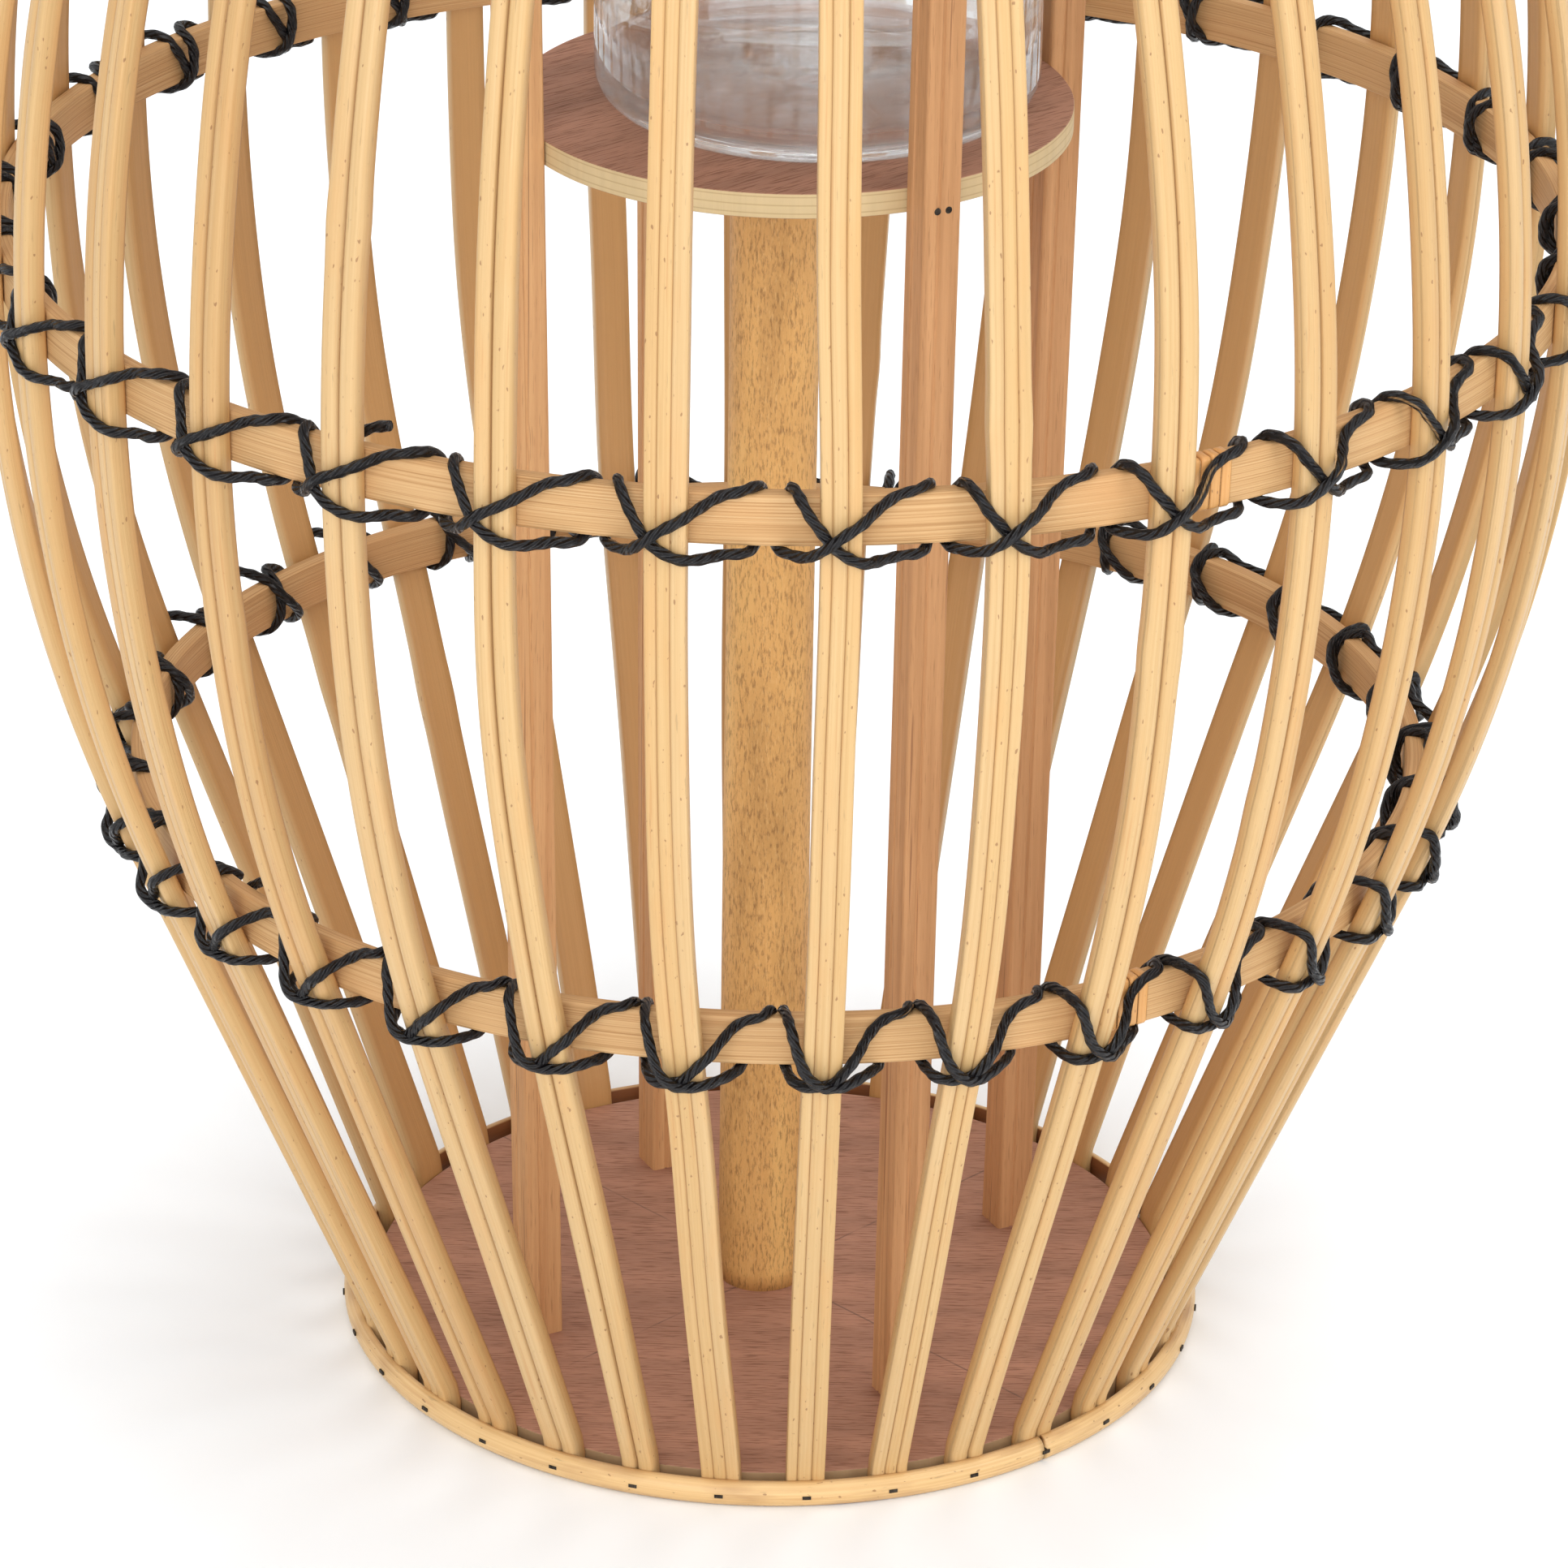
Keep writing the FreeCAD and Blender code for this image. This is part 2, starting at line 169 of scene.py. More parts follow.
class Shader:
    """A material's node tree, built by short calls."""

    def __init__(self, name, **constants):
        self.material = bpy.data.materials.new(name)
        self.material.use_nodes = True
        self.tree = self.material.node_tree
        self.surface = self.tree.nodes["Principled BSDF"]
        for key, value in constants.items():
            self.surface.inputs[key.replace("_", " ")].default_value = value

    def add(self, kind, settings=None, **inputs):
        node = self.tree.nodes.new("ShaderNode" + kind)
        for key, value in (settings or {}).items():
            setattr(node, key, value)
        for key, value in inputs.items():
            self.feed(node.inputs[key.replace("_", " ")], value)
        return node

    def feed(self, socket, value):
        if isinstance(value, bpy.types.NodeSocket):
            self.tree.links.new(value, socket)
        else:
            socket.default_value = value

    def value(self, name):
        return self.add("Attribute", {"attribute_name": name}).outputs["Fac"]

    def run(self, along, across):
        """Coordinates along and across a strip, scaled."""
        vector = self.add("Attribute", {"attribute_name": "run"}).outputs["Vector"]
        return self.add("Mapping", Vector=vector, Scale=(along, across, 1.0)).outputs["Vector"]

    def place(self, scale, turn_deg=0.0):
        """Coordinates in the object's own frame, turned about Z and then scaled."""
        vector = self.add("TexCoord").outputs["Object"]
        turned = self.add("Mapping", Vector=vector, Rotation=(0, 0, math.radians(turn_deg)))
        return self.add("Mapping", Vector=turned.outputs["Vector"], Scale=scale).outputs["Vector"]

    def noise(self, vector, detail=3.0, rough=0.5):
        node = self.add("TexNoise", Vector=vector, Scale=1.0, Detail=detail, Roughness=rough)
        return node.outputs["Fac"]

    def ramp(self, fac, *stops):
        """A colour ramp, or a grey one where the stops are numbers."""
        node = self.add("ValToRGB", Fac=fac)
        elements = node.color_ramp.elements
        while len(elements) < len(stops):
            elements.new(0.5)
        for element, (place, colour) in zip(elements, stops):
            element.position = place
            if isinstance(colour, (int, float)):
                colour = (colour, colour, colour)
            element.color = (*colour, 1.0)
        return node.outputs["Color"]

    def mix(self, fac, a, b, blend="MIX"):
        node = self.add("Mix", {"data_type": "RGBA", "blend_type": blend})
        self.feed(node.inputs[0], fac)
        for socket, value in ((node.inputs[6], a), (node.inputs[7], b)):
            self.feed(socket, (*value, 1.0) if isinstance(value, tuple) else value)
        return node.outputs[2]

    def math(self, operation, a, b=0.0):
        node = self.add("Math", {"operation": operation})
        self.feed(node.inputs[0], a)
        self.feed(node.inputs[1], b)
        return node.outputs[0]

    def above(self, fac, low, high, amount):
        """A mask: none below low, up to amount above high."""
        return self.math("MULTIPLY", self.ramp(fac, (low, 0.0), (high, 1.0)), amount)

    def bump(self, height, distance, strength=1.0):
        node = self.add("Bump", Height=height, Distance=distance, Strength=strength)
        return node.outputs["Normal"]

    def finish(self, colour, roughness=None, normal=None):
        self.feed(self.surface.inputs["Base Color"], colour)
        if roughness is not None:
            self.feed(self.surface.inputs["Roughness"], roughness)
        if normal is not None:
            self.feed(self.surface.inputs["Normal"], normal)
        return self.material


# ---------------------------------------------------------------- materials

def rattan(name, light, deep, back, gloss=0.42):
    """Peeled rattan: fine fibres along the strip, soft patches, flecks, its back colour on the back
    faces, and painted shade: dark brown in the grooves, darker where they are deeper.
    """
    s = Shader(name, Specular_IOR_Level=0.4)
    fibre = s.noise(s.run(10, 1500), 4.0, 0.6)
    patch = s.noise(s.run(28, 170), 3.0)
    colour = s.mix(s.ramp(fibre, (0.28, 0.0), (0.64, 1.0)), deep, light)
    colour = s.mix(s.above(patch, 0.50, 0.70, 0.5), colour, back)
    streak = s.noise(s.run(22, 900), 2.0)
    colour = s.mix(s.above(streak, 0.64, 0.70, 0.45),
                   colour, (0.52, 0.27, 0.10))
    fleck = s.noise(s.run(110, 1100), 3.0, 0.6)
    colour = s.mix(s.above(fleck, 0.64, 0.71, 0.5),
                   colour, (0.36, 0.24, 0.11))
    spot = s.noise(s.run(420, 900), 1.0)
    colour = s.mix(s.above(spot, 0.71, 0.75, 0.65),
                   colour, (0.22, 0.09, 0.03))
    colour = s.mix(s.value("back"), colour, s.mix(fibre, tuple(0.84 * c for c in back), back))
    # Painted shade: dark brown where the groove value is high, in the grooves between beads
    colour = s.mix(s.math("MULTIPLY", s.value("groove"), 0.95), colour, (0.24, 0.10, 0.028))
    tint = s.ramp(s.value("tint"), (0.0, (0.92, 0.84, 0.76)), (0.5, (1.0, 0.97, 0.92)),
                  (1.0, (1.0, 1.0, 1.04)))
    colour = s.mix(1.0, colour, tint, "MULTIPLY")
    rough = s.ramp(fibre, (0.3, gloss + 0.10), (0.7, gloss - 0.06))
    return s.finish(colour, rough, s.bump(fibre, 0.0002, 0.8))


def hoop_wood():
    """Split rattan core: matte, with long fine fibres."""
    s = Shader("hoop_wood", Specular_IOR_Level=0.3)
    fibre = s.noise(s.run(9, 2600), 4.0)
    colour = s.ramp(fibre, (0.30, (0.40, 0.21, 0.08)), (0.50, (0.56, 0.33, 0.145)),
                    (0.70, (0.64, 0.41, 0.20)))
    patch = s.noise(s.run(22, 60), 2.0)
    colour = s.mix(s.above(patch, 0.50, 0.75, 0.5),
                   colour, (0.58, 0.30, 0.12))
    return s.finish(colour, s.ramp(fibre, (0.3, 0.70), (0.7, 0.55)), s.bump(fibre, 0.00025, 0.8))


def pole_skin():
    """A whole rattan pole: golden brown with dense dark flecks along it."""
    s = Shader("pole_skin", Specular_IOR_Level=0.35)
    base = s.noise(s.place((55, 55, 9)), 4.0, 0.6)
    colour = s.ramp(base, (0.30, (0.50, 0.27, 0.085)), (0.50, (0.70, 0.39, 0.13)),
                    (0.72, (0.84, 0.52, 0.18)))
    fleck = s.noise(s.place((1500, 1500, 330)), 4.0, 0.7)
    colour = s.mix(s.above(fleck, 0.50, 0.64, 0.6),
                   colour, (0.17, 0.075, 0.025))
    fine = s.noise(s.place((2600, 2600, 420)), 2.0)
    colour = s.mix(s.above(fine, 0.55, 0.70, 0.35),
                   colour, (0.80, 0.52, 0.22))
    return s.finish(colour, s.ramp(fleck, (0.4, 0.50), (0.7, 0.68)), s.bump(fleck, 0.0002, 0.5))


def post_timber(name, light, deep):
    """Sawn softwood: streaks along the post, fine pores and a few dark lines."""
    s = Shader(name, Specular_IOR_Level=0.28)
    streak = s.noise(s.place((420, 420, 5)), 4.0)
    colour = s.mix(s.ramp(streak, (0.32, 0.0), (0.66, 1.0)), deep, light)
    line = s.noise(s.place((800, 800, 3)), 2.0)
    colour = s.mix(s.above(line, 0.66, 0.70, 0.6),
                   colour, (0.22, 0.085, 0.04))
    pore = s.noise(s.place((2400, 2400, 120)), 2.0)
    colour = s.mix(s.above(pore, 0.60, 0.70, 0.4),
                   colour, (0.28, 0.13, 0.06))
    return s.finish(colour, s.ramp(pore, (0.4, 0.58), (0.7, 0.75)), s.bump(pore, 0.0002, 0.6))


def plywood(name, grain_deg, top, pale, pencil=()):
    """Veneer on the faces, with short pores along the grain, and layers on the edge."""
    s = Shader(name, Specular_IOR_Level=0.25)
    wide = s.noise(s.place((7, 75, 10), grain_deg), 3.0)
    veneer = s.ramp(wide, (0.30, tuple(0.80 * c for c in top)), (0.52, top),
                    (0.75, tuple(1.18 * c for c in top)))
    pore = s.noise(s.place((130, 2100, 10), grain_deg), 2.0, 0.6)
    veneer = s.mix(s.above(pore, 0.52, 0.62, 0.6),
                   veneer, (0.17, 0.07, 0.042))
    for turn_deg, offset in pencil:
        axis = s.add("SeparateXYZ", Vector=s.place((1, 1, 1), turn_deg)).outputs["Y"]
        off = s.math("ABSOLUTE", s.math("SUBTRACT", axis, offset * MM))
        drawn = s.math("MULTIPLY", s.math("LESS_THAN", off, 0.00028),
                       s.ramp(s.noise(s.place((60, 60, 60))), (0.40, 0.0), (0.55, 0.55)))
        veneer = s.mix(drawn, veneer, (0.10, 0.06, 0.05))
    layer = s.add("SeparateXYZ", Vector=s.place((1, 1, 1))).outputs["Z"]
    stripe = s.math("FRACT", s.math("MULTIPLY", layer, 1 / 0.0021))
    grain = s.noise(s.place((400, 400, 60)), 3.0)
    edge = s.mix(s.ramp(stripe, (0.0, 0.6), (0.12, 0.0), (0.88, 0.0), (1.0, 0.6)),
                 s.mix(grain, tuple(0.82 * c for c in pale), pale), (0.40, 0.25, 0.12))
    up = s.add("SeparateXYZ", Vector=s.add("NewGeometry").outputs["Normal"]).outputs["Z"]
    flat = s.math("GREATER_THAN", s.math("ABSOLUTE", up), 0.6)
    colour = s.mix(flat, edge, veneer)
    return s.finish(colour, s.ramp(pore, (0.4, 0.55), (0.7, 0.75)), s.bump(pore, 0.00015, 0.6))


def waxed_cord():
    """Black twisted cord with a waxy sheen, brown where the dye has missed its core."""
    s = Shader("waxed_cord", Specular_IOR_Level=0.36)
    twist = s.add("TexWave", {"wave_type": "BANDS", "bands_direction": "DIAGONAL"},
                  Vector=s.run(210, 420), Scale=1.0, Distortion=1.0, Detail=2.0).outputs["Fac"]
    wax = s.noise(s.run(300, 900), 3.0, 0.6)
    colour = s.mix(s.ramp(wax, (0.50, 0.0), (0.80, 1.0)),
                   (0.006, 0.005, 0.006), (0.022, 0.020, 0.021))
    bare = s.noise(s.run(26, 330), 2.0)
    colour = s.mix(s.above(bare, 0.70, 0.73, 0.8),
                   colour, s.mix(wax, (0.20, 0.10, 0.035), (0.45, 0.27, 0.11)))
    rough = s.ramp(wax, (0.35, 0.24), (0.70, 0.50))
    height = s.math("ADD", twist, s.math("MULTIPLY", wax, 0.9))
    return s.finish(colour, rough, s.bump(height, 0.0006, 1.0))


def nail_steel():
    s = Shader("nail_steel", Metallic=0.8)
    grime = s.noise(s.place((900, 900, 900)), 3.0)
    return s.finish(s.ramp(grime, (0.35, (0.02, 0.016, 0.014)), (0.7, (0.09, 0.075, 0.06))),
                    s.ramp(grime, (0.3, 0.45), (0.7, 0.7)))


def clear_glass():
    s = Shader("clear_glass", Transmission_Weight=1.0, IOR=1.45, Roughness=0.0, Alpha=0.75)
    tiny = s.noise(s.place((30, 30, 6)), 2.0)
    return s.finish(s.ramp(tiny, (0.3, (0.97, 0.985, 0.98)), (0.7, (1.0, 1.0, 1.0))),
                    None, s.bump(tiny, 0.0006, 0.25))


# ---------------------------------------------------------------- ribs

def rib_outer_radius(z):
    """Radius of the ribs' outer face at a height."""
    drop = abs(z - BELLY_Z)
    if drop > BELLY_ARC * math.sin(SLOPE):
        return FOOT_R + (BELLY_Z - BEND_Z - drop) * math.tan(SLOPE)
    return BELLY_R - BELLY_ARC + math.sqrt(BELLY_ARC ** 2 - drop ** 2)


def rib_azimuth(index, z):
    """Where the middle of a rib stands at a height, with its lean, in degrees."""
    shift = (BELLY_Z - z) * math.tan(LEAN)
    return RIB_FIRST_DEG + PITCH_DEG * index + math.degrees(math.atan2(shift, rib_outer_radius(z)))


def rib_line(count):
    """Stations up a rib's outer face: radius, height, and slope from vertical."""
    bend_low = BEND_Z - BEND_ROUND * math.tan(SLOPE / 2)
    bend_high = bend_low + BEND_ROUND * math.sin(SLOPE)
    arc_low = BELLY_Z - BELLY_ARC * math.sin(SLOPE)
    heights = np.linspace(RIB_END_GAP, HEIGHT - RIB_END_GAP, count)
    line = np.zeros((count, 3))
    for row, z in enumerate(heights):
        low = min(z, HEIGHT - z)
        if low < bend_low:
            radius, slope = FOOT_R, 0.0
        elif low < bend_high:
            slope = math.asin((low - bend_low) / BEND_ROUND)
            radius = FOOT_R + BEND_ROUND * (1 - math.cos(slope))
        else:
            radius = rib_outer_radius(low)
            slope = SLOPE if low < arc_low else math.asin((BELLY_Z - low) / BELLY_ARC)
        line[row] = radius, z, slope if z < BELLY_Z else -slope
    return line


def bead_outline(beads):
    """A rib's section: beads across the outer face, square sides and a flat back. Each bead
    is (width, fall of its edges, tint). Gives across, depth, groove (painted shade), back and tint."""
    across, depth, groove, back, tint = [], [], [], [], []
    start = -0.5
    for width, fall, shade in beads:
        for u in -np.cos(np.linspace(0.10, math.pi - 0.10, 9)):
            across.append(start + width * (u + 1) / 2)
            dip = 1 - (1 - abs(u) ** 3.5) ** (1 / 2.2)
            depth.append(fall * dip)
            inner = 0.03 < across[-1] + 0.5 < 0.97
            # groove: how much painted shade a point takes, more the deeper it sits and the deeper
            # its groove
            groove.append(max(0.0, dip - 0.3) / 0.6 * min(1.0, 0.5 + 0.3 * fall) if inner else 0.0)
            back.append(0.0)
            tint.append(shade)
        start += width
    for x, d in ((0.5, 0.45), (0.5, 0.85), (0.46, 1.0), (0.2, 1.0),
                 (-0.2, 1.0), (-0.46, 1.0), (-0.5, 0.85), (-0.5, 0.45)):
        across.append(x)
        depth.append(RIB_THICK * d)
        groove.append(0.0)
        back.append(min(1.0, max(0.0, (d - 0.5) / 0.3)))
        tint.append(0.5)
    return [np.array(v) for v in (across, depth, groove, back, tint)]


# The near ribs have the beads that the photo shows; the others draw theirs
THREE_BEAD_RIBS = 31, 0, 1
TWO_BEAD_RIBS = 30, 2


def rib_section(index, rng):
    """The beads of one rib: two round ones with a groove, or three flat ones with seams."""
    if index in THREE_BEAD_RIBS or (rng.random() < 0.3 and index not in TWO_BEAD_RIBS):
        first, last = rng.uniform(0.26, 0.42), rng.uniform(0.30, 0.38)
        fall = rng.uniform(0.45, 0.7)
        return bead_outline(((first, fall, rng.random()), (1 - first - last, fall, rng.random()),
                             (last, fall, rng.random())))
    first = rng.uniform(0.44, 0.56)
    fall = rng.uniform(1.6, 2.2)
    return bead_outline(((first, fall, rng.random()), (1 - first, fall, rng.random())))


def make_rib(index, material):
    rng = random.Random(100 + index)
    line = rib_line(150)
    across, depth, groove, back, tint = rib_section(index, rng)
    rows = len(line)
    s = line[:, 1]
    held = np.sin(math.pi * s / HEIGHT) ** 0.5
    side = Wander(rng, 0.8, HEIGHT, 6)(s) * held
    swell = 1 + Wander(rng, 0.035, HEIGHT, 9)(s)
    swell += 0.07 * np.exp(-((s - rng.uniform(90, 540)) / 7.0) ** 2)
    shift = Wander(rng, 0.018, HEIGHT, 6)(s)
    width = RIB_WIDTH * rng.uniform(0.96, 1.04)
    slope = line[:, 2]
    face = across[None, :] * width * swell[:, None]
    inner = 1 - (2 * np.abs(across)) ** 4
    face = face + side[:, None] + inner[None, :] * shift[:, None] * width
    x = line[:, 0][:, None] - depth[None, :] * np.cos(slope)[:, None]
    z = s[:, None] + depth[None, :] * np.sin(slope)[:, None]
    z = np.clip(z, RIB_END_GAP, HEIGHT - RIB_END_GAP)
    y = face * math.cos(LEAN) - (z - BELLY_Z) * math.sin(LEAN)
    azimuth = math.radians(RIB_FIRST_DEG + PITCH_DEG * index)
    rings = np.stack([x * math.sin(azimuth) + y * math.cos(azimuth),
                      -x * math.cos(azimuth) + y * math.sin(azimuth), z], axis=2)
    name = "rib_%02d" % (index + 1)
    piece = sweep(name + "_reed", rings[:, ::-1])
    each_row = np.ones((rows, 1))
    keep_values(piece, groove=each_row * groove[::-1], back=each_row * back[::-1],
                tint=each_row * tint[::-1])
    around = np.cumsum(np.hypot(np.diff(across, prepend=across[0]) * width,
                                np.diff(depth, prepend=depth[0])))
    keep_run(piece, s[:, None] + 700.0 * index + 0 * around, each_row * around[::-1])
    return settle(piece, material, "cage", "rib_rattan", name)


def make_ribs():
    material = rattan("rib_skin", (0.62, 0.42, 0.20), (0.55, 0.35, 0.15), (0.62, 0.36, 0.145))
    for index in range(RIB_COUNT):
        make_rib(index, material)


# ---------------------------------------------------------------- strips that go round

def ring_sweep(name, radius, section, start_deg=0.0, turn_deg=360.0, count=360, wave=None):
    """A strip round the axis. The section gives (radial, height) offsets in millimetres."""
    close = turn_deg >= 360.0
    angles = np.radians(start_deg + turn_deg * np.arange(count) / (count if close else count - 1))
    section = np.array(section)
    offsets = np.zeros((count, 2)) if wave is None else wave(angles)
    r = radius + section[None, :, 0] + offsets[:, :1]
    z = section[None, :, 1] + offsets[:, 1:]
    rings = np.stack([r * np.sin(angles)[:, None], -r * np.cos(angles)[:, None], z], axis=2)
    piece = sweep(name, rings, close)
    steps = np.hypot(*np.diff(section, axis=0, prepend=section[:1]).T)
    along = radius * (angles - angles[0])
    each_row = np.ones((count, 1))
    keep_run(piece, along[:, None] + 0 * steps, each_row * np.cumsum(steps))
    return piece


def rounded_box(low_r, high_r, low_z, high_z, corner, steps=4):
    """The outline of a box with round corners, as (radial, height) points."""
    points = []
    for cx, cz, turn in ((high_r - corner, low_z + corner, -90),
                         (high_r - corner, high_z - corner, 0),
                         (low_r + corner, high_z - corner, 90),
                         (low_r + corner, low_z + corner, 180)):
        for step in range(steps):
            a = math.radians(turn + 90.0 * step / (steps - 1))
            points.append((cx + corner * math.cos(a), cz + corner * math.sin(a)))
    return points


def closed_wave(rng, radial, height):
    """A wobble that meets itself after a full turn."""
    terms = [(n, rng.uniform(0, TAU), rng.uniform(0, TAU)) for n in (2, 3, 5, 8)]

    def wave(angles):
        r = sum(radial / n * np.sin(n * angles + p) for n, p, _ in terms)
        z = sum(height / n * np.sin(n * angles + q) for n, _, q in terms)
        return np.stack([r, z], axis=1)

    return wave


def hoop_size(name):
    low, high = span(name + "_hoop")
    return high.x, (low.z + high.z) / 2, high.z - low.z


def binding_deg(name):
    """Where a hoop's ends meet, under its binding."""
    radius, z, _ = hoop_size(name)
    past = math.degrees(BINDING_PAST_RIB / (radius - HOOP_THICK / 2))
    return rib_azimuth(HOOP_JOINT_RIB, z) + past


def make_hoop(name, material, seed):
    radius, middle, tall = hoop_size(name)
    section = rounded_box(-HOOP_THICK, 0.0, middle - tall / 2, middle + tall / 2, 0.7)
    wave = closed_wave(random.Random(seed), 0.25, 0.6)
    piece = ring_sweep(name + "_hoop_strip", radius - HOOP_INSET, section, binding_deg(name),
                       count=320, wave=wave)
    return settle(piece, material, "cage", "hoop_rattan", name + "_hoop")


BAND_DEEP = 3.3
BAND_INSET = 0.25        # and the visible band this far inside its own
BAND_JOINT_GAP_DEG = 0.3
BAND_STATIONS = 400


def make_band(name, material, seed):
    """Half-round band: flat inside, rounded outside, cut square at its joint."""
    low, high = span(name)
    outer = high.x
    tall = high.z - low.z
    middle = (low.z + high.z) / 2
    arch = [(-BAND_DEEP + BAND_DEEP * math.cos(a) ** 0.7, middle + (tall / 2 - 0.1) * math.sin(a))
            for a in np.radians(np.linspace(-89, 89, 13))]
    section = arch + [(-BAND_DEEP, middle + tall / 2 - 0.5), (-BAND_DEEP, middle - tall / 2 + 0.5)]
    wobble = closed_wave(random.Random(seed), 0.2, 0.0)
    joint = rib_azimuth(BAND_JOINT_RIB, middle)
    piece = ring_sweep(name + "_reed", outer - BAND_INSET, section, joint + BAND_JOINT_GAP_DEG,
                       360.0 - 2 * BAND_JOINT_GAP_DEG, BAND_STATIONS, wobble)
    zero = np.zeros((BAND_STATIONS, len(section)))
    # The two inside points take the material's back colour, which for the bands is a painted shadow
    # colour
    inside = zero.copy()
    inside[:, -2:] = 1.0
    keep_values(piece, groove=zero, back=inside, tint=zero + 1.0)
    return settle(piece, material, "cage", "band_rattan", name)


# ---------------------------------------------------------------- lashings

CORD_R = 1.3
CROSSING_SLIDE = 3.5     # how far a crossing slides along the hoop, by its place on the ring
TAUT_FROM = 5.0          # from a rib's middle to where a cord leaves its shoulder
TAUT_RUN = 6.5           # and how much farther it runs before it touches the hoop
OVER_BUMP = 1.7          # height of the upper cord over the lower one, in cord radii
# The cut tail where the rising cord starts, as (across, height over the hoop's edge)
CORD_TAIL = (9.0, 3.4), (5.0, 2.0), (0.0, -1.5)


def lashing_route(name, rising, brim):
    """One cord's way past a rib, as (across, up) from where the rib meets the hoop: behind
    the hoop, at its edge, over its face and the rib, at its other edge, and behind again."""
    if name == "upper":
        mirrored = lashing_route("lower", not rising, brim)
        return [[(across, -up) for across, up in part] for part in mirrored]
    if name == "middle" and rising:
        face = [(-11.8, -brim - 0.1), (-8.0, -7.2), (-4.5, -4.3), (0.0, -0.8), (4.5, 1.6),
                (8.5, 4.0), (13.0, 6.2), (17.0, brim - 0.3)]
        return [(-15.5, -4.0), (-14.0, -brim)], face, [(20.5, brim), (22.0, 4.5)]
    if name == "middle":
        face = [(-9.2, brim - 0.4), (-7.0, 3.2), (-4.6, 0.0), (-2.6, -3.0), (0.0, -5.6),
                (4.5, -7.9), (8.5, -8.6), (14.0, -8.2), (18.0, -7.9)]
        return [(-11.8, 4.0), (-10.8, brim)], face, [(20.4, -brim), (22.0, -4.5)]
    if rising:
        face = [(-7.5, -8.4), (-4.4, -9.3), (0.0, -8.6), (2.2, -6.6), (4.7, -3.0), (7.1, -0.3),
                (9.6, 2.8), (12.6, 5.2), (15.5, 6.9), (18.5, brim)]
        return [(-10.8, -4.0), (-9.4, -brim)], face, [(20.3, brim), (21.5, 4.0)]
    face = [(-8.5, brim - 0.4), (-7.4, 2.6), (-6.4, -0.8), (-5.2, -3.9), (-3.4, -6.6), (-0.7, -9.0),
            (2.2, -9.7), (4.9, -9.4), (7.1, -8.8), (10.6, -8.0)]
    return [(-10.6, 4.0), (-9.8, brim)], face, [(13.5, -brim), (15.0, -4.0)]


def goes_over(name, rising):
    return not rising if name == "lower" else rising


def lashing_points(name, rising, rng):
    """The line of one cord all the way round its hoop, pulled tight over ribs and edges."""
    radius, z, tall = hoop_size(name)
    before, face, after = lashing_route(name, rising, tall / 2 + CORD_R)
    near, behind = radius - HOOP_INSET + CORD_R, radius - HOOP_INSET - HOOP_THICK - CORD_R
    over = goes_over(name, rising)
    lift = 1.2 * CORD_R if over else 0.0
    points = []
    for step in range(RIB_COUNT):
        middle = math.radians(rib_azimuth(LASH_FIRST_RIB[name] + step, z))
        off = CROSSING_SLIDE * math.sin(2 * middle) + rng.uniform(-0.6, 0.6)
        lower = rng.uniform(-0.4, 0.4)

        def slid(across):
            return across + off * (0.45 + 0.55 * math.exp(-(across / 8.0) ** 2))

        def spot(across, height, r):
            angle = middle + slid(across) / radius
            points.append((r * math.sin(angle), -r * math.cos(angle), z + height))

        def rise(across, height):
            """Radius of a cord that runs straight from the rib's shoulder to the hoop."""
            shoulder = max(near, rib_outer_radius(z + height) + CORD_R - 0.1)
            fall = min(1.0, max(0.0, (abs(slid(across)) - TAUT_FROM) / TAUT_RUN))
            return shoulder + (near - shoulder) * fall

        if step == 0 and rising:
            for across, over_edge in CORD_TAIL:
                spot(across, tall / 2 + over_edge, behind - lift)
        across, height = before[0]
        spot(across, height, behind - lift)
        spot(*before[1], radius - HOOP_THICK / 2)
        for across, height in face:
            bump = OVER_BUMP * CORD_R * math.exp(-((across + 2.5) / 4.0) ** 2) if over else 0.0
            spot(across, height + lower, rise(across, height) + bump)
        spot(*after[0], radius - HOOP_THICK / 2)
        across, height = after[1]
        spot(across, height, behind - lift)
    return np.array(points)


def through_points(points, step):
    """A smooth line through points, sampled about every step millimetres."""
    out = []
    for i in range(len(points) - 1):
        p0 = points[max(i - 1, 0)]
        p1, p2 = points[i], points[i + 1]
        p3 = points[min(i + 2, len(points) - 1)]
        d1 = max(np.linalg.norm(p1 - p0), 1e-6) ** 0.5
        d2 = max(np.linalg.norm(p2 - p1), 1e-6) ** 0.5
        d3 = max(np.linalg.norm(p3 - p2), 1e-6) ** 0.5
        m1 = m2 = p2 - p1
        if i > 0:
            m1 = d2 * ((p1 - p0) / d1 - (p2 - p0) / (d1 + d2) + (p2 - p1) / d2)
        if i < len(points) - 2:
            m2 = d2 * ((p2 - p1) / d2 - (p3 - p1) / (d2 + d3) + (p3 - p2) / d3)
        for t in np.arange(0, 1, 1 / max(2, math.ceil(np.linalg.norm(p2 - p1) / step))):
            h = (2 * t ** 3 - 3 * t ** 2 + 1, t ** 3 - 2 * t ** 2 + t,
                 -2 * t ** 3 + 3 * t ** 2, t ** 3 - t ** 2)
            out.append(h[0] * p1 + h[1] * m1 + h[2] * p2 + h[3] * m2)
    out.append(points[-1])
    return np.array(out)


